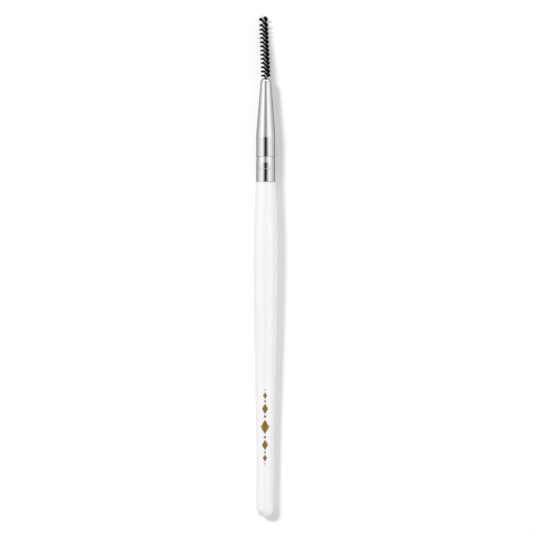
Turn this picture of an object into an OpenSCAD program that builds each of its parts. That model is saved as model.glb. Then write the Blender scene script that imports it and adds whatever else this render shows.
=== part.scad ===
// Spiral eyebrow brush: a slim turned handle, a crimped metal ferrule and a twisted-in-wire head.
// It lies along Y on its belly, with the head towards +Y, bent down and leaning towards -X.

/* [Handle] */
// Length of the handle from the tail to the ferrule's lower end
handle_len = 117; // [105:1:140]
// Diameter at the tail
tail_d = 5.84; // [4.5:0.02:7]
// Depth of the rounded tail
tail_dome = 3.5; // [1.5:0.1:6]
// Length of the straight stretch above the rounded tail
tail_straight = 8; // [4:0.5:12]
// Largest diameter
belly_d = 8.19; // [7:0.01:11]
// Distance from the tail to the largest diameter
belly_at = 93; // [75:1:100]
// How late the back of the handle swells, where 1 is an even curve
swell_lag = 0.97; // [0.9:0.01:1.4]
// Diameter of the shoulder under the ferrule
shoulder_d = 6.76; // [6.7:0.02:7]
// Rounding of the shoulder's edge
shoulder_round = 0.18; // [0.05:0.01:0.3]
// Length of the tenon inside the ferrule
tenon_len = 13.5; // [12:0.5:16]
// Chamfer at the tenon's end
tenon_chamfer = 0.6; // [0.2:0.1:1]

/* [Ferrule] */
// Length from the handle's shoulder to the rounded mouth
ferrule_len = 36.25; // [32:0.25:45]
// Outer diameter of the straight barrel
barrel_d = 6.56; // [6.2:0.02:6.6]
// Wall thickness
ferrule_wall = 0.35; // [0.2:0.05:0.5]
// Height of the lower crimp ring above the shoulder
lower_crimp_at = 4.65; // [3:0.05:6]
// Height of the upper crimp ring above the shoulder
upper_crimp_at = 8.85; // [7:0.05:10]
// Depth of a crimp ring
crimp_depth = 0.04; // [0.02:0.01:0.2]
// Width of a crimp ring
crimp_w = 0.16; // [0.1:0.02:0.6]
// How far the upper half of the band between the crimp rings draws in
band_taper = 0.09; // [0:0.01:0.15]
// Rounding of the lower edge
lip_round = 0.15; // [0.05:0.01:0.25]
// Height at which the barrel turns into the cone
cone_at = 16.5; // [14:0.25:20]
// Reach of the easing between barrel and cone, each way
cone_blend = 1.2; // [0.4:0.1:2]
// Diameter of the cone where the rounded mouth starts
nose_d = 3.7; // [3.2:0.02:4.4]
// Radius of the rounded mouth
nose_round = 1.4; // [0.8:0.05:1.5]

/* [Wire stem] */
// Diameter of the wire
wire_d = 0.38; // [0.3:0.01:0.5]
// Length of one full turn of the twist
twist_pitch = 2.98; // [2.2:0.02:4]
// Length of one full turn near the cut ends, where the twist springs open
loose_pitch = 4.3; // [3:0.02:6]
// Length of the loose stretch under the top of the bristles
loose_len = 2.75; // [0:0.05:5]
// Length of the stem inside the ferrule
stem_in = 13; // [8:0.5:16]
// Length of the plug that holds the stem in the cone
plug_len = 13; // [8:0.5:15]
// How far the longer wire end stands past the bristles
wire_end = 0.7; // [0:0.05:1]
// How far the shorter wire end stays below the top of the bristles
short_end = 0.2; // [0:0.05:1]
// Sideways lean of the head, from the bend of the stem at the mouth
lean = 2.5; // [0:0.1:8]
// How far the same bend turns the head down towards the surface
droop = 8; // [0:0.1:8.5]

/* [Bristles] */
// Thickness of one bristle
bristle_d = 0.12; // [0.1:0.01:0.16]
// Length of the bristled head
head_len = 21.5; // [14:0.05:28]
// Gap between the ferrule's mouth and the lowest bristle
head_gap = 0.1; // [0.1:0.05:1]
// Diameter of the head near its base
head_base_d = 3.4; // [2.4:0.05:5]
// Diameter of the head at its tip
head_tip_d = 3.16; // [2:0.02:5]
// Diameter of the lowest turn, where the bristles are cut short
first_d = 0.9; // [0.8:0.05:2]
// How fast the short bristles reach the full diameter, in mm of diameter a mm
first_flare = 3.4; // [1:0.1:8]
// Height of the first full row above the lowest bristle
first_row_at = 0.8; // [0:0.05:1.5]

/* [Clearances] */
// Between the tenon and the ferrule's wall
tenon_fit = 0.03; // [0.01:0.01:0.1]
// Between the plug and the ferrule's wall
plug_fit = 0.03; // [0.01:0.01:0.1]
// Between the plug's top and the inside of the rounded mouth
plug_gap = 0.2; // [0.1:0.05:0.5]
// Around the twisted stem in the plug's bore and in the mouth
stem_fit = 0.06; // [0.02:0.01:0.2]
// Between the two strands where no bristle parts them
strand_gap = 0.04; // [0.03:0.01:0.1]
// Between the bristles and each strand
bristle_fit = 0.02; // [0.015:0.005:0.05]
// Between one bristle and the next
bristle_gap = 0.004; // [0.002:0.001:0.02]

/* [Hidden] */
$fn = 72;

// Steps that the curved outlines are drawn in
back_steps = 26;
front_steps = 10;
round_steps = 10;
crimp_steps = 8;
lip_steps = 4;
// Corners of the wire's section, and sections in one turn of its twist
wire_sides = 8;
turn_steps = 12;
// Angle between the wire's sections around its fold
fold_step = 30;
// Length over which the strands part under the lowest bristle
parting_len = 0.8;
// Distance from the tail to the centre of mass
balance_at = 84;

tail_r = tail_d/2;
swell_from = tail_dome + tail_straight;
belly_r = belly_d/2;
shoulder_r = shoulder_d/2;
shoulder_at = handle_len - shoulder_round;
barrel_r = barrel_d/2;
wire_r = wire_d/2;

// The rounded mouth is an arc around this centre, and the cone touches it
nose_centre_r = nose_d/2 - nose_round;
nose_at = ferrule_len - nose_round;
cone_run = nose_at - cone_at;
cone_drop = barrel_r - nose_centre_r;
cone_angle = atan(cone_drop/cone_run) - asin(nose_round/norm([cone_run, cone_drop]));
mouth_z = handle_len + ferrule_len;
band_middle = (lower_crimp_at + upper_crimp_at)/2;

// Two layers of bristles lie side by side between the strands
bristle_step = bristle_d + bristle_gap;
stem_off = wire_r + strand_gap/2;
head_off = wire_r + (bristle_step + bristle_d)/2 + bristle_fit;
mouth_r = head_off + wire_r + stem_fit;
bore_r = stem_off + wire_r + stem_fit;
plug_top = nose_at - plug_gap;
plug_from = plug_top - plug_len;
fold_z = mouth_z - stem_in + stem_off;
head_z = mouth_z + head_gap;
head_top = head_z + head_len;
row_z = head_z + first_row_at;
loose_z = head_top - loose_len;
bristle_count = floor(head_len/bristle_step);

function smooth(t) = t*t*(3 - 2*t);
function share(t) = max(0, min(1, t));
function unit(v) = v/norm(v);
function steps(from, to, count) = [for (i = [1 : count]) from + (to - from)*i/count];

// Outline of the handle's back and front, as a radius at a distance from the tail
function back_r(z) =
    tail_r + (belly_r - tail_r)*smooth(pow((z - swell_from)/(belly_at - swell_from), swell_lag));
function front_r(z) = belly_r - (belly_r - shoulder_r)*pow((z - belly_at)/(shoulder_at - belly_at), 2);
function handle_r(z) = z < belly_at ? back_r(z) : front_r(z);

// Outer radius of the ferrule at a height above the shoulder, up to the rounded mouth
function body_r(h) =
    h <= cone_at - cone_blend ? barrel_r
    : h >= cone_at + cone_blend ? barrel_r - tan(cone_angle)*(h - cone_at)
    : barrel_r - tan(cone_angle)*pow(h - cone_at + cone_blend, 2)/(4*cone_blend);
function crimp(h, at) = abs(h - at) < crimp_w/2 ? crimp_depth*(1 + cos(360*(h - at)/crimp_w))/2 : 0;
function drawn_in(h) =
    h < upper_crimp_at ? band_taper*share((h - band_middle)/(upper_crimp_at - band_middle))
    : band_taper*share(1 - 2*(h - upper_crimp_at)/crimp_w);
function ferrule_r(h) = body_r(h) - drawn_in(h) - crimp(h, lower_crimp_at) - crimp(h, upper_crimp_at);
function inside_r(h) = ferrule_r(h) - ferrule_wall;

// Heights at which the barrel's outline has a point, from the shoulder to the end of the easing
barrel_stations = concat(
    [0, lower_crimp_at - crimp_w/2],
    steps(lower_crimp_at - crimp_w/2, lower_crimp_at + crimp_w/2, crimp_steps),
    [band_middle, upper_crimp_at - crimp_w/2],
    steps(upper_crimp_at - crimp_w/2, upper_crimp_at + crimp_w/2, crimp_steps),
    [cone_at - cone_blend],
    steps(cone_at - cone_blend, cone_at + cone_blend, crimp_steps)
);

// Arc of the rounded mouth from the cone to the hole, or to its flat top where the hole is smaller
function nose_arc(r) =
    let (last = mouth_r > nose_centre_r ? acos((mouth_r - nose_centre_r)/r) : 90)
    [for (a = concat([cone_angle], steps(cone_angle, last, round_steps)))
        [nose_centre_r + r*cos(a), nose_at + r*sin(a)]];

// Outlines of the ferrule's lower edge, and of the handle from its tail to its tenon
lip_outline = [for (a = concat([0], steps(0, 90, lip_steps)))
    [barrel_r - lip_round*(1 - sin(a)), lip_round*(1 - cos(a))]];
back_outline = [for (z = concat([swell_from], steps(swell_from, belly_at, back_steps))) [back_r(z), z]];
front_outline = [for (z = steps(belly_at, shoulder_at, front_steps)) [front_r(z), z]];
tail_outline = [for (a = steps(0, 90, round_steps)) [tail_r*sin(a), tail_dome*(1 - cos(a))]];
shoulder_outline = [for (a = steps(0, 90, round_steps))
    [shoulder_r - shoulder_round*(1 - cos(a)), shoulder_at + shoulder_round*sin(a)]];
handle_outline = concat(tail_outline, back_outline, front_outline, shoulder_outline);
tenon_outline = [for (h = barrel_stations) if (h < tenon_len - tenon_chamfer)
    [inside_r(h) - tenon_fit, handle_len + h]];
tenon_end_r = inside_r(tenon_len - tenon_chamfer) - tenon_fit;

// The brush rests on its tail and belly, or rocks forward on the belly until its weight is over it
tail_slope = max([for (p = back_outline) (p[0] - tail_r)/(p[1] - tail_dome)]);
belly_slope = (handle_r(balance_at + 1) - handle_r(balance_at - 1))/2;
rest_slope = min(tail_slope, belly_slope);
rest_tilt = atan(rest_slope);
rest_lift = max([for (p = handle_outline) p[0]*cos(rest_tilt) - p[1]*sin(rest_tilt)]);
brush_len = mouth_z + (head_gap + head_len + wire_end)*cos(lean)*cos(droop);

// Direction of the strands at a height: they lie front and back where a row of bristles lies sideways
function turn(z) =
    -90 - 360*((min(z, loose_z) - row_z)/twist_pitch + max(0, z - loose_z)/loose_pitch);
function strand_off(z) =
    stem_off + (head_off - stem_off)*smooth(share((z - head_z + parting_len)/parting_len));

// One section of the hairpin wire: its centre and the direction that faces away from the other strand
function strand_section(z, side) =
    let (out = side*[cos(turn(z)), sin(turn(z)), 0]) [strand_off(z)*out + [0, 0, z], out];
function fold_section(a) =
    let (out = [-cos(a)*cos(turn(fold_z)), -cos(a)*sin(turn(fold_z)), -sin(a)])
    [stem_off*out + [0, 0, fold_z], out];
function strand_heights(end_z) =
    let (count = ceil((end_z - fold_z)/(twist_pitch/turn_steps))) steps(fold_z, end_z, count);
// A point of the wire after the bend at the ferrule's mouth
function bent(p) =
    p[2] <= mouth_z ? p
    : let (
        x = p[0]*cos(lean) - (p[2] - mouth_z)*sin(lean),
        z = p[0]*sin(lean) + (p[2] - mouth_z)*cos(lean)
    )
    [x, p[1]*cos(droop) + z*sin(droop), mouth_z - p[1]*sin(droop) + z*cos(droop)];

long_strand = strand_heights(head_top + wire_end);
short_strand = strand_heights(head_top - short_end);
wire_path = concat(
    [for (i = [len(long_strand) - 1 : -1 : 0]) strand_section(long_strand[i], -1)],
    [for (a = [0 : fold_step : 180]) fold_section(a)],
    [for (z = short_strand) strand_section(z, 1)]
);

// Corners of one section of the wire, square to its path
function wire_ring(i) =
    let (
        before = wire_path[max(i - 1, 0)][0],
        after = wire_path[min(i + 1, len(wire_path) - 1)][0],
        along = unit(after - before),
        out = unit(wire_path[i][1] - along*(wire_path[i][1]*along)),
        across = cross(along, out)
    )
    [for (j = [0 : wire_sides - 1])
        let (a = 360*j/wire_sides) bent(wire_path[i][0] + wire_r*(out*cos(a) + across*sin(a)))];

// Half the length of a bristle at a height
function bristle_reach(z) =
    min(
        head_base_d + (head_tip_d - head_base_d)*(z - head_z)/head_len,
        first_d + first_flare*(z - head_z)
    )/2;

module laid()
    translate([0, -brush_len/2, rest_lift]) rotate([rest_tilt - 90, 0, 0]) children();

module bend()
    translate([0, 0, mouth_z]) rotate([-droop, 0, 0]) rotate([0, -lean, 0]) translate([0, 0, -mouth_z])
        children();

// Turned wooden handle with its tenon, which takes the crimp rings' shape
module handle()
    color("#f4f3f0") laid() rotate_extrude() polygon(concat(
        [[0, 0]],
        handle_outline,
        tenon_outline,
        [
            [tenon_end_r, handle_len + tenon_len - tenon_chamfer],
            [tenon_end_r - tenon_chamfer, handle_len + tenon_len],
            [0, handle_len + tenon_len]
        ]
    ));

// Drawn tube with a rounded lip, crimp rings, a cone and a rounded mouth
module ferrule() {
    outer = concat(
        lip_outline,
        [for (h = barrel_stations) if (h > lip_round) [ferrule_r(h), h]],
        nose_arc(nose_round)
    );
    inner = concat([for (h = barrel_stations) [inside_r(h), h]], nose_arc(nose_round - ferrule_wall));
    color("#c9cacc") laid() translate([0, 0, handle_len]) rotate_extrude()
        polygon(concat(outer, [for (i = [len(inner) - 1 : -1 : 0]) inner[i]]));
}

// Moulded plug, wedged in the cone around the twisted stem
module stem_plug()
    color("#e6e2d8") laid() translate([0, 0, handle_len]) rotate_extrude()
        polygon(concat(
            [[bore_r, plug_from]],
            [for (h = concat([plug_from], steps(plug_from, plug_top, round_steps))) [inside_r(h) - plug_fit, h]],
            [[bore_r, plug_top]]
        ));

// One wire folded in two and twisted on itself, with the fold in the plug and the cut ends at the tip
module twisted_wire() {
    last = len(wire_path) - 1;
    color("#8f8a82") laid() polyhedron(
        points = [for (i = [0 : last]) each wire_ring(i)],
        faces = concat(
            [[for (j = [0 : wire_sides - 1]) j]],
            [for (i = [0 : last - 1], j = [0 : wire_sides - 1])
                let (
                    here = i*wire_sides,
                    next = here + wire_sides,
                    k = (j + 1)%wire_sides
                )
                each [[here + j, next + j, next + k], [here + j, next + k, here + k]]],
            [[for (j = [wire_sides - 1 : -1 : 0]) last*wire_sides + j]]
        )
    );
}

// Straight bristles held across the wire, each turned with the twist, in two layers
module bristles()
    color("#151413") laid() bend() for (i = [0 : bristle_count - 1], side = [-1, 1]) {
        z = head_z + (i + 0.5)*bristle_step;
        translate([0, 0, z]) rotate(turn(z)) translate([side*bristle_step/2, 0, 0]) rotate([90, 0, 0])
            cylinder(h = 2*bristle_reach(z), d = bristle_d, center = true, $fn = 6);
    }

handle();
ferrule();
stem_plug();
twisted_wire();
bristles();
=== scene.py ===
"""Looks of the spiral eyebrow brush, lying on a white surface and seen from straight above."""
import math
import random

import bpy
from mathutils import Matrix, Vector


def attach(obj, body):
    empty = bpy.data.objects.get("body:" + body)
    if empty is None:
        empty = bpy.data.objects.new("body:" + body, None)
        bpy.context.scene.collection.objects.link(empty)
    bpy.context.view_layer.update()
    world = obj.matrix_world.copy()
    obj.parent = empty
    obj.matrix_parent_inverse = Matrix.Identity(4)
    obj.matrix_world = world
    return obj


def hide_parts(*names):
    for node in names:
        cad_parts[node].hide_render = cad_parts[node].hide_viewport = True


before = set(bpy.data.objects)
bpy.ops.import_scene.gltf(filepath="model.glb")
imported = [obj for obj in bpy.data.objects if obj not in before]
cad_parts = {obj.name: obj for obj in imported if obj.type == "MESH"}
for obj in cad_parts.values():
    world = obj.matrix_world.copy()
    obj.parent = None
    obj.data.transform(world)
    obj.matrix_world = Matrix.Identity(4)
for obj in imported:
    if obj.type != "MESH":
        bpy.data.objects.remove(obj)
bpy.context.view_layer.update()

MM = 0.001
TAU = 2*math.pi
MERGE_GAP = 0.001*MM

# Handle, in millimetres
HANDLE_LEN = 117
TAIL_R = 5.84/2
TAIL_DOME = 3.5
SWELL_FROM = TAIL_DOME + 8
BELLY_R = 8.19/2
BELLY_AT = 93
SWELL_LAG = 0.97
SHOULDER_R = 6.76/2
SHOULDER_ROUND = 0.18
SHOULDER_AT = HANDLE_LEN - SHOULDER_ROUND
TENON_LEN = 13.5
TENON_CHAMFER = 0.6
TENON_FIT = 0.03

# Ferrule, in millimetres above the handle's shoulder
FERRULE_LEN = 36.25
BARREL_R = 6.56/2
FERRULE_WALL = 0.35
CRIMPS_AT = (4.65, 8.85)
CRIMP_DEPTH = 0.04
CRIMP_W = 0.16
BAND_MIDDLE = sum(CRIMPS_AT)/2
BAND_TAPER = 0.09
LIP_ROUND = 0.15
CONE_AT = 16.5
CONE_BLEND = 1.2
NOSE_R = 3.7/2
NOSE_ROUND = 1.4
NOSE_AT = FERRULE_LEN - NOSE_ROUND
NOSE_CENTRE_R = NOSE_R - NOSE_ROUND
MOUTH_R = 0.582
MOUTH_Z = HANDLE_LEN + FERRULE_LEN
CONE_DROP = BARREL_R - NOSE_CENTRE_R
CONE_RUN = NOSE_AT - CONE_AT
CONE_ANGLE = math.atan2(CONE_DROP, CONE_RUN) - math.asin(NOSE_ROUND/math.hypot(CONE_RUN, CONE_DROP))

# Bristle head, in millimetres and degrees
HEAD_GAP = 0.1
HEAD_LEN = 21.5
HEAD_BASE_R = 3.4/2
HEAD_TIP_R = 3.16/2
FIRST_R = 0.9/2
FIRST_FLARE = 3.4/2
FIRST_ROW_AT = 0.8
TWIST_PITCH = 2.98
LOOSE_PITCH = 4.3
LOOSE_LEN = 2.75
WIRE_END = 0.7
LEAN = 2.5
DROOP = 8
HEAD_Z = MOUTH_Z + HEAD_GAP
HEAD_TOP = HEAD_Z + HEAD_LEN
ROW_Z = HEAD_Z + FIRST_ROW_AT
LOOSE_Z = HEAD_TOP - LOOSE_LEN

# Filaments, more than the source's, between the same two strands of wire
FILAMENT_D = 0.1  # mm
FILAMENTS = 1700
FILAMENT_LAYER = 0.11  # mm to either side of the wire's middle
FILAMENT_SIDES = 5
FILAMENT_CUTS = 4
FILAMENT_FAN = 3  # degrees of spread round the wire
FILAMENT_SPLAY = 3.5  # degrees of spread along it
FILAMENT_BOW = 7  # degrees
FILAMENT_SHORT = 0.97  # the shortest, as a share of full length
FILAMENT_SEED = 11

# Turned pieces, and the cuts along each stretch of their outlines
SIDES = 128
EDGE_STEP = 0.03  # mm beside an edge, which keeps its shading narrow
TAIL_CUTS = 16
SWELL_CUTS = 60
FRONT_CUTS = 20
ROUND_CUTS = 8
CRIMP_CUTS = 12
CONE_CUTS = 12
NOSE_CUTS = 20

# How the brush lies
BALANCE_AT = 84  # mm from the tail
SLOPE_TESTS = 26  # heights at which its slope is tested
LIFT_TESTS = 200  # heights at which its lowest point is sought

# Largest angle between faces that are shaded as one surface, in degrees
TURNED_EDGE = 35
WIRE_EDGE = 60
FILAMENT_EDGE = 80

# Gold foil ornament, in millimetres
FOIL_FROM = 18.6  # from the tail
FOIL_TO = 44.8
LOZENGE_SIDES = 4
DOT_SIDES = 24
LOZENGE_HALF_LEN = 2.5  # of the lozenge in the middle
LOZENGE_HALF_W = 1.55
END_DOT_R = 0.22
FOIL_MOTIFS = (  # on each side of the middle: sides, distance from it, half length and half width
    (DOT_SIDES, 3.6, 0.42, 0.42),
    (LOZENGE_SIDES, 6.3, 1.8, 0.72*LOZENGE_HALF_W),
    (DOT_SIDES, 8.9, 0.34, 0.34),
    (LOZENGE_SIDES, 10.9, 1.2, 0.48*LOZENGE_HALF_W),
    (DOT_SIDES, (FOIL_TO - FOIL_FROM)/2 - END_DOT_R, END_DOT_R, END_DOT_R),
)
FOIL_AHEAD = 2  # in front of the handle, before it is pressed on
FOIL_LIFT = 0.012
FOIL_THICK = 0.01
FOIL_CUT = 0.2  # between the cuts that let it bend round the handle

# Grain of the finishes, in millimetres
PEEL_SIZE = 1.6
SPRAY_CLOUD = 14
LINE_SPACING = 0.25  # coarser than the real lines, which are too fine to show
LINE_LEN = 20
DIE_GRAIN = 0.15  # coarser than the real grain, for the same reason
NYLON_WEAR = 0.4
PLUG_CLOUD = 0.8
FOIL_MOTTLE = 0.5

# Photograph's frame
PHOTO_PX = 533
MM_PER_PX = 0.3493
BRUSH_PX = (265.4, 266.1)  # where the brush's middle lies in it
BRUSH_ROLL = 0.142  # degrees that the brush is turned in it
LENS_MM = 250
SENSOR_MM = 36

# Studio, as degrees from straight up towards +X and level
NEAR_ARCH = (  # what the barrel mirrors, with a black card overhead
    (-90, 0.58), (-68, 0.77), (-54, 0.89), (-41, 0.88), (-28, 0.58), (-18, 0.3), (-11, 0.02),
    (5, 0.005), (10, 0.07), (21, 0.32), (33, 0.7), (46, 0.85), (59, 0.78), (90, 0.64),
)
FAR_ARCH = (  # what the cone mirrors, with a grey card overhead
    (-90, 0.62), (-72, 0.79), (-54, 1), (-36, 1), (-20, 0.5), (-4, 0.24), (11, 0.4), (26, 0.8),
    (42, 1.02), (60, 0.86), (90, 0.6),
)
ROOM_ARCH = ((-90, 0.5), (-50, 0.3), (0, 0.25), (50, 0.3), (90, 0.5))  # the pale room beyond both
SOFT_ARCH = ((-90, 0), (-32, 0), (20, 1), (90, 1))  # what lights the brush, from above and the right
ARCH_EDGES = ((1.5, 3), (11, 16), (-4, -9))  # degrees ahead: near to far, far to room, near to room
MIRRORED_LEVEL = 2.05
SOFT_LEVEL = 0.61
CARD_GLOW = 0.3
CARD_METRES = 6

# Lamps: strength, width in degrees, and the way to the lamp
KEY = (2.85, 17, (-0.64, 0.5, 1))
FILL = (1.4, 10, (1, -1, 0))
GLINTS = (
    (0.95, 50, (-0.5, 0.72, 0.6)),
    (0.95, 50, (0.5, 0.72, 0.6)),
)


def smooth(t):
    """A share from 0 to 1, eased at both ends."""
    return t*t*(3 - 2*t)


def steps(start, end, count):
    """Evenly spaced values from start to end, without the first."""
    return [start + (end - start)*i/count for i in range(1, count + 1)]


def handle_r(z):
    """Radius of the handle at a distance from the tail."""
    if z < BELLY_AT:
        share = max(0, (z - SWELL_FROM)/(BELLY_AT - SWELL_FROM))
        return TAIL_R + (BELLY_R - TAIL_R)*smooth(share**SWELL_LAG)
    return BELLY_R - (BELLY_R - SHOULDER_R)*((z - BELLY_AT)/(SHOULDER_AT - BELLY_AT))**2


def ferrule_r(h):
    """Outer radius of the ferrule at a height above the shoulder, below its rounded mouth."""
    past = h - CONE_AT
    if past <= -CONE_BLEND:
        r = BARREL_R
    elif past >= CONE_BLEND:
        r = BARREL_R - math.tan(CONE_ANGLE)*past
    else:
        r = BARREL_R - math.tan(CONE_ANGLE)*(past + CONE_BLEND)**2/(4*CONE_BLEND)
    for at in CRIMPS_AT:
        if abs(h - at) < CRIMP_W/2:
            r -= CRIMP_DEPTH*(1 + math.cos(TAU*(h - at)/CRIMP_W))/2
    drawn_in = (h - BAND_MIDDLE)/(CRIMPS_AT[1] - BAND_MIDDLE)
    if h > CRIMPS_AT[1]:
        drawn_in = 1 - 2*(h - CRIMPS_AT[1])/CRIMP_W
    return r - BAND_TAPER*max(0, drawn_in)


# The brush lies on its belly, tilted until its weight is over it
TILT_SLOPE = min(
    max((handle_r(z) - TAIL_R)/(z - TAIL_DOME) for z in steps(TAIL_DOME, BELLY_AT, SLOPE_TESTS)),
    (handle_r(BALANCE_AT + 1) - handle_r(BALANCE_AT - 1))/2,
)
REST_TILT = math.atan(TILT_SLOPE)
REST_LIFT = max(
    handle_r(z)*math.cos(REST_TILT) - z*math.sin(REST_TILT)
    for z in steps(TAIL_DOME, HANDLE_LEN, LIFT_TESTS)
)
BRUSH_LEN = MOUTH_Z + (HEAD_GAP + HEAD_LEN + WIRE_END)*math.cos(math.radians(LEAN))*math.cos(
    math.radians(DROOP)
)

# From upright, with the tail at the origin, to lying with its middle over the origin
LAID = Matrix.Translation((0, -BRUSH_LEN/2*MM, REST_LIFT*MM)) @ Matrix.Rotation(
    REST_TILT - math.pi/2, 4, "X"
)

# The head's droop and lean, about the ferrule's mouth
BENT = (
    Matrix.Translation((0, 0, MOUTH_Z*MM))
    @ Matrix.Rotation(-math.radians(DROOP), 4, "X")
    @ Matrix.Rotation(-math.radians(LEAN), 4, "Y")
    @ Matrix.Translation((0, 0, -MOUTH_Z*MM))
)


def start_piece(name):
    """Names the active object and its mesh, and gives it back."""
    piece = bpy.context.object
    piece.name = name
    piece.data.name = name
    return piece


def settle(piece, place):
    """Moves a piece to its place, and leaves its object at the origin."""
    bpy.ops.object.select_all(action="DESELECT")
    piece.select_set(True)
    bpy.context.view_layer.objects.active = piece
    piece.matrix_world = place
    bpy.ops.object.transform_apply(location=True, rotation=True, scale=True)


def round_off(piece, degrees):
    """Shades a piece smooth where its faces meet at less than that angle."""
    bpy.ops.object.select_all(action="DESELECT")
    piece.select_set(True)
    bpy.context.view_layer.objects.active = piece
    bpy.ops.object.shade_smooth_by_angle(angle=math.radians(degrees))


def turned(name, outline):
    """A piece turned from an outline of (radius, height) points in millimetres, then laid down."""
    bpy.ops.object.select_all(action="DESELECT")
    bpy.ops.mesh.primitive_plane_add(size=MM)
    piece = start_piece(name)
    bpy.ops.object.mode_set(mode="EDIT")
    bpy.ops.mesh.merge(type="CENTER")
    first_r, first_z = outline[0]
    bpy.ops.transform.translate(value=(first_r*MM, 0, first_z*MM))
    for (r, z), (next_r, next_z) in zip(outline, outline[1:]):
        move = ((next_r - r)*MM, 0, (next_z - z)*MM)
        bpy.ops.mesh.extrude_vertices_move(TRANSFORM_OT_translate={"value": move})
    bpy.ops.mesh.select_all(action="SELECT")
    bpy.ops.mesh.spin(steps=SIDES, angle=TAU, center=(0, 0, 0), axis=(0, 0, 1))
    bpy.ops.mesh.select_all(action="SELECT")
    bpy.ops.mesh.remove_doubles(threshold=MERGE_GAP)
    bpy.ops.mesh.normals_make_consistent(inside=False)
    bpy.ops.object.mode_set(mode="OBJECT")
    settle(piece, LAID)
    round_off(piece, TURNED_EDGE)
    return piece


def barrel_heights(top):
    """Heights of the barrel's outline up to a height, close together at the crimps and the cone."""
    heights = [0, LIP_ROUND, BAND_MIDDLE - EDGE_STEP, BAND_MIDDLE, BAND_MIDDLE + EDGE_STEP]
    for at in CRIMPS_AT:
        low = at - CRIMP_W/2
        high = at + CRIMP_W/2
        heights += [low - EDGE_STEP, low] + steps(low, high, CRIMP_CUTS) + [high + EDGE_STEP]
    heights += [CONE_AT - CONE_BLEND] + steps(CONE_AT - CONE_BLEND, CONE_AT + CONE_BLEND, CONE_CUTS)
    heights += steps(CONE_AT + CONE_BLEND, NOSE_AT + NOSE_ROUND*math.sin(CONE_ANGLE), CONE_CUTS)
    return sorted(h for h in heights if h <= top)


def nose_arc(r):
    """Points of the rounded mouth, from the cone to the hole."""
    last = math.acos((MOUTH_R - NOSE_CENTRE_R)/r)
    angles = steps(CONE_ANGLE, last, NOSE_CUTS)
    return [(NOSE_CENTRE_R + r*math.cos(a), HANDLE_LEN + NOSE_AT + r*math.sin(a)) for a in angles]


def make_handle():
    """Turned handle, with the tenon that fills the crimped end of the ferrule."""
    tail = [
        (TAIL_R*math.sin(a), TAIL_DOME*(1 - math.cos(a))) for a in steps(0, math.pi/2, TAIL_CUTS)
    ]
    back = [(handle_r(z), z) for z in [SWELL_FROM] + steps(SWELL_FROM, BELLY_AT, SWELL_CUTS)]
    front = [(handle_r(z), z) for z in steps(BELLY_AT, SHOULDER_AT, FRONT_CUTS)]
    shoulder = [
        (SHOULDER_R - SHOULDER_ROUND*(1 - math.cos(a)), SHOULDER_AT + SHOULDER_ROUND*math.sin(a))
        for a in steps(0, math.pi/2, ROUND_CUTS)
    ]
    tenon_top = TENON_LEN - TENON_CHAMFER
    tenon = [
        (ferrule_r(h) - FERRULE_WALL - TENON_FIT, HANDLE_LEN + h) for h in barrel_heights(tenon_top)
    ]
    end_r = ferrule_r(tenon_top) - FERRULE_WALL - TENON_FIT
    end = [
        (end_r, HANDLE_LEN + tenon_top),
        (end_r - TENON_CHAMFER, HANDLE_LEN + TENON_LEN),
        (0, HANDLE_LEN + TENON_LEN),
    ]
    piece = turned("lacquered_handle", [(0, 0)] + tail + back + front + shoulder + tenon + end)
    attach(piece, "root")
    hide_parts("handle")
    return piece


def make_ferrule():
    """Drawn tube with its two crimp rings, its cone and its rounded mouth."""
    heights = barrel_heights(FERRULE_LEN)
    outer = [
        (BARREL_R - LIP_ROUND*(1 - math.sin(a)), HANDLE_LEN + LIP_ROUND*(1 - math.cos(a)))
        for a in [0] + steps(0, math.pi/2, ROUND_CUTS)
    ]
    outer += [(ferrule_r(h), HANDLE_LEN + h) for h in heights if h > LIP_ROUND] + nose_arc(NOSE_ROUND)
    inner = [(ferrule_r(h) - FERRULE_WALL, HANDLE_LEN + h) for h in heights]
    inner += nose_arc(NOSE_ROUND - FERRULE_WALL)
    piece = turned("polished_ferrule", outer + inner[::-1] + outer[:1])
    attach(piece, "root")
    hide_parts("ferrule")
    return piece


def make_wire():
    """The twisted wire: a copy of its solid, with its loose triangles joined and shaded smooth."""
    bpy.ops.object.select_all(action="DESELECT")
    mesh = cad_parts["twisted_wire"].data.copy()
    piece = bpy.data.objects.new("wire_stem", mesh)
    bpy.context.scene.collection.objects.link(piece)
    bpy.context.view_layer.objects.active = piece
    piece.select_set(True)
    bpy.ops.object.mode_set(mode="EDIT")
    bpy.ops.mesh.select_all(action="SELECT")
    bpy.ops.mesh.remove_doubles(threshold=MERGE_GAP)
    bpy.ops.object.mode_set(mode="OBJECT")
    round_off(piece, WIRE_EDGE)
    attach(piece, "root")
    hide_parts("twisted_wire")
    return piece


def row_angle(z):
    """Direction in which the bristles point at a height, as they follow the twist."""
    turns = (min(z, LOOSE_Z) - ROW_Z)/TWIST_PITCH + max(0, z - LOOSE_Z)/LOOSE_PITCH
    return -TAU*turns


def bristle_reach(z):
    """Half the length of a bristle at a height."""
    full = HEAD_BASE_R + (HEAD_TIP_R - HEAD_BASE_R)*(z - HEAD_Z)/HEAD_LEN
    return min(full, FIRST_R + FIRST_FLARE*(z - HEAD_Z))


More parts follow.
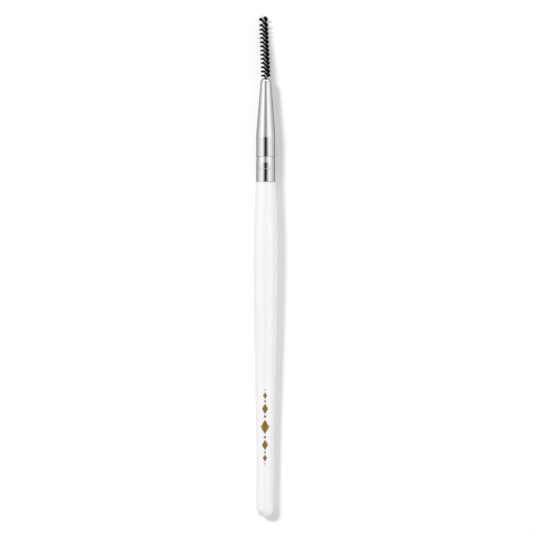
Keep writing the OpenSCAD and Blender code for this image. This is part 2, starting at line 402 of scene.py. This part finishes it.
def make_filament():
    """One filament of the full length at the base, along X and bowed a little, to be copied."""
    bpy.ops.object.select_all(action="DESELECT")
    bpy.ops.mesh.primitive_cylinder_add(
        vertices=FILAMENT_SIDES, radius=FILAMENT_D/2*MM, depth=2*HEAD_BASE_R*MM, rotation=(0, math.pi/2, 0)
    )
    piece = start_piece("filament")
    bpy.ops.object.transform_apply(location=True, rotation=True, scale=True)
    bpy.ops.object.mode_set(mode="EDIT")
    for x in steps(-HEAD_BASE_R*MM, HEAD_BASE_R*MM, FILAMENT_CUTS + 1)[:-1]:
        bpy.ops.mesh.select_all(action="SELECT")
        bpy.ops.mesh.bisect(plane_co=(x, 0, 0), plane_no=(1, 0, 0))
    bpy.ops.object.mode_set(mode="OBJECT")
    bow = piece.modifiers.new("bow", "SIMPLE_DEFORM")
    bow.deform_method = "BEND"
    bow.deform_axis = "Z"
    bow.angle = math.radians(FILAMENT_BOW)
    bpy.ops.object.modifier_apply(modifier=bow.name)
    return piece


def make_bristles():
    """Nylon filaments held between the strands, each copied from one and turned with the twist."""
    draw = random.Random(FILAMENT_SEED)
    model = make_filament()
    copies = []
    for z in steps(HEAD_Z, HEAD_TOP, FILAMENTS):
        reach = bristle_reach(z)*draw.uniform(FILAMENT_SHORT, 1)
        turn = row_angle(z) + math.radians(draw.gauss(0, FILAMENT_FAN))
        splay = math.radians(draw.gauss(0, FILAMENT_SPLAY))
        layer = draw.uniform(-FILAMENT_LAYER, FILAMENT_LAYER)
        copy = bpy.data.objects.new("filament", model.data.copy())
        bpy.context.scene.collection.objects.link(copy)
        copy.matrix_world = (
            Matrix.Translation((0, 0, z*MM))
            @ Matrix.Rotation(turn, 4, "Z")
            @ Matrix.Translation((0, layer*MM, 0))
            @ Matrix.Rotation(splay, 4, "Y")
            @ Matrix.Rotation(draw.uniform(0, TAU), 4, "X")
            @ Matrix.Diagonal((reach/HEAD_BASE_R, 1, 1, 1))
        )
        copies.append(copy)
    bpy.data.objects.remove(model)
    bpy.ops.object.select_all(action="DESELECT")
    for copy in copies:
        copy.select_set(True)
    bpy.context.view_layer.objects.active = copies[0]
    bpy.ops.object.join()
    piece = start_piece("nylon_bristles")
    bpy.ops.object.transform_apply(location=True, rotation=True, scale=True)
    settle(piece, LAID @ BENT)
    round_off(piece, FILAMENT_EDGE)
    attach(piece, "root")
    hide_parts("bristles")
    return piece


def foil_motif(sides, along, half_len, half_width):
    """One flat motif of the ornament, in front of the standing handle and lengthwise along it."""
    bpy.ops.object.select_all(action="DESELECT")
    bpy.ops.mesh.primitive_circle_add(vertices=sides, radius=1, fill_type="NGON")
    motif = start_piece("foil_motif")
    motif.matrix_world = (
        Matrix.Translation((0, -(BELLY_R + FOIL_AHEAD)*MM, along*MM))
        @ Matrix.Rotation(math.pi/2, 4, "X")
        @ Matrix.Diagonal((half_width*MM, half_len*MM, 1, 1))
    )
    bpy.ops.object.transform_apply(location=True, rotation=True, scale=True)
    return motif


def make_foil(handle):
    """A generic chain of lozenges and dots in stamped foil, pressed onto the lacquer."""
    middle = (FOIL_FROM + FOIL_TO)/2
    motifs = [foil_motif(LOZENGE_SIDES, middle, LOZENGE_HALF_LEN, LOZENGE_HALF_W)]
    for side in (-1, 1):
        for sides, distance, half_len, half_width in FOIL_MOTIFS:
            motifs.append(foil_motif(sides, middle + side*distance, half_len, half_width))
    bpy.ops.object.select_all(action="DESELECT")
    for motif in motifs:
        motif.select_set(True)
    bpy.context.view_layer.objects.active = motifs[0]
    bpy.ops.object.join()
    piece = start_piece("foil_ornament")
    bpy.ops.object.mode_set(mode="EDIT")
    cuts = int(LOZENGE_HALF_W/FOIL_CUT)
    for i in range(-cuts, cuts + 1):
        bpy.ops.mesh.select_all(action="SELECT")
        bpy.ops.mesh.bisect(plane_co=(i*FOIL_CUT*MM, 0, 0), plane_no=(1, 0, 0))
    bpy.ops.object.mode_set(mode="OBJECT")
    settle(piece, LAID)
    press = piece.modifiers.new("press", "SHRINKWRAP")
    press.target = handle
    press.wrap_method = "PROJECT"
    press.use_project_z = True
    press.use_negative_direction = True
    press.use_positive_direction = False
    press.offset = FOIL_LIFT*MM
    bpy.ops.object.modifier_apply(modifier=press.name)
    leaf = piece.modifiers.new("leaf", "SOLIDIFY")
    leaf.thickness = FOIL_THICK*MM
    leaf.offset = 0
    bpy.ops.object.modifier_apply(modifier=leaf.name)
    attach(piece, "root")
    return piece


def linear(code):
    """Linear colour of an sRGB hex value."""
    parts = [int(code[i:i + 2], 16)/255 for i in (1, 3, 5)]
    return tuple(c/12.92 if c <= 0.04045 else ((c + 0.055)/1.055)**2.4 for c in parts) + (1,)


def add_node(tree, kind, settings=(), links=()):
    """Adds a node with its settings and links: a key is a socket's name or number, or a property."""
    node = tree.nodes.new(kind)
    for key, value in dict(settings).items():
        if isinstance(key, int) or key in node.inputs:
            node.inputs[key].default_value = value
        else:
            setattr(node, key, value)
    for key, source in dict(links).items():
        tree.links.new(source, node.inputs[key])
    return node


def new_material(name):
    """A new material, with its node tree and its principled shader."""
    material = bpy.data.materials.new(name)
    material.use_nodes = True
    return material, material.node_tree, material.node_tree.nodes["Principled BSDF"]


def gloss_lacquer():
    """White nitrocellulose lacquer sprayed on turned wood: an even gloss with a faint orange peel."""
    material, tree, shader = new_material("sprayed_white_lacquer")
    place = add_node(tree, "ShaderNodeTexCoord").outputs["Object"]
    peel = add_node(
        tree, "ShaderNodeTexNoise", {"Scale": 1/(PEEL_SIZE*MM), "Detail": 2}, {"Vector": place}
    )
    cloud = add_node(
        tree, "ShaderNodeTexNoise", {"Scale": 1/(SPRAY_CLOUD*MM), "Detail": 3}, {"Vector": place}
    )
    tone = add_node(
        tree, "ShaderNodeMix", {"data_type": "RGBA", 6: linear("#ededee"), 7: linear("#f1f1f2")},
        {0: cloud.outputs["Fac"]},
    )
    bump = add_node(
        tree, "ShaderNodeBump", {"Strength": 0.05, "Distance": 0.02*MM}, {"Height": peel.outputs["Fac"]}
    )
    tree.links.new(tone.outputs[2], shader.inputs["Base Color"])
    tree.links.new(bump.outputs["Normal"], shader.inputs["Normal"])
    shader.inputs["Roughness"].default_value = 0.3
    shader.inputs["IOR"].default_value = 1.5
    return material


def polished_metal():
    """Nickel-bright drawn aluminium: a mirror with faint polishing lines around the tube."""
    material, tree, shader = new_material("polished_aluminium")
    place = add_node(tree, "ShaderNodeTexCoord").outputs["Object"]
    around = 1/(LINE_LEN*MM)
    along = 1/(LINE_SPACING*MM)
    fit = add_node(tree, "ShaderNodeMapping", {"Scale": (around, along, around)}, {"Vector": place})
    lines = add_node(
        tree, "ShaderNodeTexNoise", {"Scale": 1, "Detail": 3}, {"Vector": fit.outputs["Vector"]}
    )
    rough = add_node(
        tree, "ShaderNodeMapRange", {"To Min": 0.04, "To Max": 0.07}, {"Value": lines.outputs["Fac"]}
    )
    bump = add_node(
        tree, "ShaderNodeBump", {"Strength": 0.04, "Distance": 0.01*MM}, {"Height": lines.outputs["Fac"]}
    )
    tree.links.new(rough.outputs["Result"], shader.inputs["Roughness"])
    tree.links.new(bump.outputs["Normal"], shader.inputs["Normal"])
    shader.inputs["Base Color"].default_value = linear("#bababa")
    shader.inputs["Metallic"].default_value = 1
    shader.inputs["Specular Tint"].default_value = linear("#6a6a6a")
    return material


def drawn_wire():
    """Bright drawn steel wire: pale, with fine die lines that scatter its shine."""
    material, tree, shader = new_material("drawn_steel_wire")
    place = add_node(tree, "ShaderNodeTexCoord").outputs["Object"]
    grain = add_node(tree, "ShaderNodeTexNoise", {"Scale": 1/(DIE_GRAIN*MM)}, {"Vector": place})
    rough = add_node(
        tree, "ShaderNodeMapRange", {"To Min": 0.4, "To Max": 0.55}, {"Value": grain.outputs["Fac"]}
    )
    tree.links.new(rough.outputs["Result"], shader.inputs["Roughness"])
    shader.inputs["Base Color"].default_value = linear("#d3d0c9")
    shader.inputs["Metallic"].default_value = 1
    return material


def black_nylon():
    """Extruded black nylon: deep black with a soft sheen along each filament."""
    material, tree, shader = new_material("black_nylon_filament")
    place = add_node(tree, "ShaderNodeTexCoord").outputs["Object"]
    wear = add_node(tree, "ShaderNodeTexNoise", {"Scale": 1/(NYLON_WEAR*MM)}, {"Vector": place})
    tone = add_node(
        tree, "ShaderNodeMix", {"data_type": "RGBA", 6: linear("#040404"), 7: linear("#0b0a0a")},
        {0: wear.outputs["Fac"]},
    )
    tree.links.new(tone.outputs[2], shader.inputs["Base Color"])
    shader.inputs["Roughness"].default_value = 0.55
    shader.inputs["IOR"].default_value = 1.3
    return material


def moulded_plug():
    """Natural moulded nylon: waxy off-white."""
    material, tree, shader = new_material("natural_nylon_plug")
    place = add_node(tree, "ShaderNodeTexCoord").outputs["Object"]
    cloud = add_node(tree, "ShaderNodeTexNoise", {"Scale": 1/(PLUG_CLOUD*MM)}, {"Vector": place})
    tone = add_node(
        tree, "ShaderNodeMix", {"data_type": "RGBA", 6: linear("#e0dccf"), 7: linear("#eae6dc")},
        {0: cloud.outputs["Fac"]},
    )
    tree.links.new(tone.outputs[2], shader.inputs["Base Color"])
    shader.inputs["Roughness"].default_value = 0.5
    return material


def stamped_foil():
    """Hot-stamped gold foil: a dark antique gold, a little mottled where it took the lacquer."""
    material, tree, shader = new_material("hot_stamped_gold_foil")
    place = add_node(tree, "ShaderNodeTexCoord").outputs["Object"]
    mottle = add_node(
        tree, "ShaderNodeTexNoise", {"Scale": 1/(FOIL_MOTTLE*MM), "Detail": 3}, {"Vector": place}
    )
    tone = add_node(
        tree, "ShaderNodeMix", {"data_type": "RGBA", 6: linear("#96783c"), 7: linear("#b0924f")},
        {0: mottle.outputs["Fac"]},
    )
    tree.links.new(tone.outputs[2], shader.inputs["Base Color"])
    shader.inputs["Roughness"].default_value = 0.38
    shader.inputs["Metallic"].default_value = 1
    return material


def dress(piece, material):
    """Gives a piece one material, in place of those it had."""
    piece.data.materials.clear()
    piece.data.materials.append(material)


def seen_straight(tree):
    """Socket that is 1 for a ray from the camera or a mirror, and 0 for one that brings light alone."""
    path = add_node(tree, "ShaderNodeLightPath")
    mirrored = add_node(
        tree, "ShaderNodeMath", {"operation": "MAXIMUM"},
        {0: path.outputs["Is Glossy Ray"], 1: path.outputs["Is Transmission Ray"]},
    )
    seen = add_node(
        tree, "ShaderNodeMath", {"operation": "MAXIMUM"},
        {0: path.outputs["Is Camera Ray"], 1: mirrored.outputs["Value"]},
    )
    return seen.outputs["Value"]


def make_floor():
    """White card that keeps the brush's shadow, with a faint glow of its own that lights nothing."""
    bpy.ops.object.select_all(action="DESELECT")
    bpy.ops.mesh.primitive_plane_add(size=CARD_METRES)
    floor = start_piece("floor")
    material = bpy.data.materials.new("matt_white_card")
    material.use_nodes = True
    tree = material.node_tree
    tree.nodes.remove(tree.nodes["Principled BSDF"])
    level = add_node(
        tree, "ShaderNodeMath", {"operation": "MULTIPLY", 1: CARD_GLOW}, {0: seen_straight(tree)}
    )
    glow = add_node(tree, "ShaderNodeEmission", {}, {"Strength": level.outputs["Value"]})
    card = add_node(tree, "ShaderNodeBsdfDiffuse", {"Color": linear("#d9d9d9")})
    both = add_node(tree, "ShaderNodeAddShader", {}, {0: card.outputs[0], 1: glow.outputs[0]})
    tree.links.new(both.outputs[0], tree.nodes["Material Output"].inputs["Surface"])
    floor.data.materials.append(material)


def set_stops(stops, levels):
    """Gives a colour ramp its stops, from pairs of degrees from straight up and level.

    New stops start halfway, and every stop is then moved to its own place.
    """
    while len(stops) < len(levels):
        stops.new(0.5)
    for stop, (degrees, level) in zip(stops, levels):
        stop.position = (degrees + 90)/180
        stop.color = (level, level, level, 1)


def light_studio():
    """A pale studio. What is polished mirrors its walls and the dark card overhead, and what lights the
    brush is a soft sky, a key, a shadowless fill from the right, and a glint from each side ahead that
    shows in the gloss alone."""
    world = bpy.data.worlds.new("studio")
    bpy.context.scene.world = world
    world.use_nodes = True
    tree = world.node_tree
    tree.nodes.clear()
    ways = add_node(
        tree, "ShaderNodeSeparateXYZ", {}, {0: add_node(tree, "ShaderNodeTexCoord").outputs["Generated"]}
    )
    across = add_node(
        tree, "ShaderNodeMath", {"operation": "ARCTAN2"}, {0: ways.outputs["X"], 1: ways.outputs["Z"]}
    )
    share = add_node(
        tree, "ShaderNodeMapRange", {"From Min": -math.pi/2, "From Max": math.pi/2},
        {"Value": across.outputs["Value"]},
    )
    near, far, room, soft = (
        add_node(tree, "ShaderNodeValToRGB", {}, {"Fac": share.outputs["Result"]}) for _ in range(4)
    )
    set_stops(near.color_ramp.elements, NEAR_ARCH)
    set_stops(far.color_ramp.elements, FAR_ARCH)
    set_stops(room.color_ramp.elements, ROOM_ARCH)
    set_stops(soft.color_ramp.elements, SOFT_ARCH)
    to_far, ahead, behind = (
        add_node(
            tree, "ShaderNodeMapRange",
            {"From Min": math.sin(math.radians(start)), "From Max": math.sin(math.radians(end))},
            {"Value": ways.outputs["Y"]},
        )
        for start, end in ARCH_EDGES
    )
    walls = add_node(
        tree, "ShaderNodeMix", {"data_type": "RGBA"},
        {0: to_far.outputs[0], 6: near.outputs[0], 7: far.outputs[0]},
    )
    outside = add_node(
        tree, "ShaderNodeMath", {"operation": "MAXIMUM"}, {0: ahead.outputs[0], 1: behind.outputs[0]}
    )
    studio = add_node(
        tree, "ShaderNodeMix", {"data_type": "RGBA"},
        {0: outside.outputs[0], 6: walls.outputs[2], 7: room.outputs[0]},
    )
    seen = seen_straight(tree)
    shown = add_node(
        tree, "ShaderNodeMix", {"data_type": "RGBA"}, {0: seen, 6: soft.outputs[0], 7: studio.outputs[2]}
    )
    level = add_node(
        tree, "ShaderNodeMapRange", {"To Min": SOFT_LEVEL, "To Max": MIRRORED_LEVEL}, {"Value": seen}
    )
    light = add_node(
        tree, "ShaderNodeBackground", {},
        {"Color": shown.outputs[2], "Strength": level.outputs["Result"]},
    )
    add_node(tree, "ShaderNodeOutputWorld", {}, {"Surface": light.outputs[0]})
    key = add_sun("key", *KEY)
    key.visible_glossy = False
    fill = add_sun("fill", *FILL)
    fill.visible_glossy = False
    fill.data.use_shadow = False
    for numbers in GLINTS:
        glint = add_sun("glint", *numbers)
        glint.visible_diffuse = False


def add_sun(name, energy, degrees, way):
    """A soft sun of that width in the sky, shining from a direction."""
    sun = bpy.data.lights.new(name, "SUN")
    sun.energy = energy
    sun.angle = math.radians(degrees)
    lamp = bpy.data.objects.new(name, sun)
    bpy.context.scene.collection.objects.link(lamp)
    lamp.rotation_mode = "QUATERNION"
    lamp.rotation_quaternion = Vector(way).to_track_quat("Z", "Y")
    return lamp


def set_camera():
    """Camera straight above, with the photograph's frame."""
    width = PHOTO_PX*MM_PER_PX
    height = LENS_MM*width/SENSOR_MM + REST_LIFT
    camera = bpy.data.objects.new("camera", bpy.data.cameras.new("camera"))
    bpy.context.scene.collection.objects.link(camera)
    camera.data.lens = LENS_MM
    camera.data.sensor_width = SENSOR_MM
    across = (PHOTO_PX/2 - BRUSH_PX[0])*MM_PER_PX
    along = (BRUSH_PX[1] - PHOTO_PX/2)*MM_PER_PX
    camera.location = (across*MM, along*MM, height*MM)
    camera.rotation_euler = (0, 0, math.radians(BRUSH_ROLL))
    bpy.context.scene.camera = camera


set_camera()
handle = make_handle()
dress(handle, gloss_lacquer())
dress(make_ferrule(), polished_metal())
dress(make_wire(), drawn_wire())
dress(make_bristles(), black_nylon())
dress(make_foil(handle), stamped_foil())
dress(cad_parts["stem_plug"], moulded_plug())
make_floor()
light_studio()
bpy.context.scene.view_settings.view_transform = "Standard"
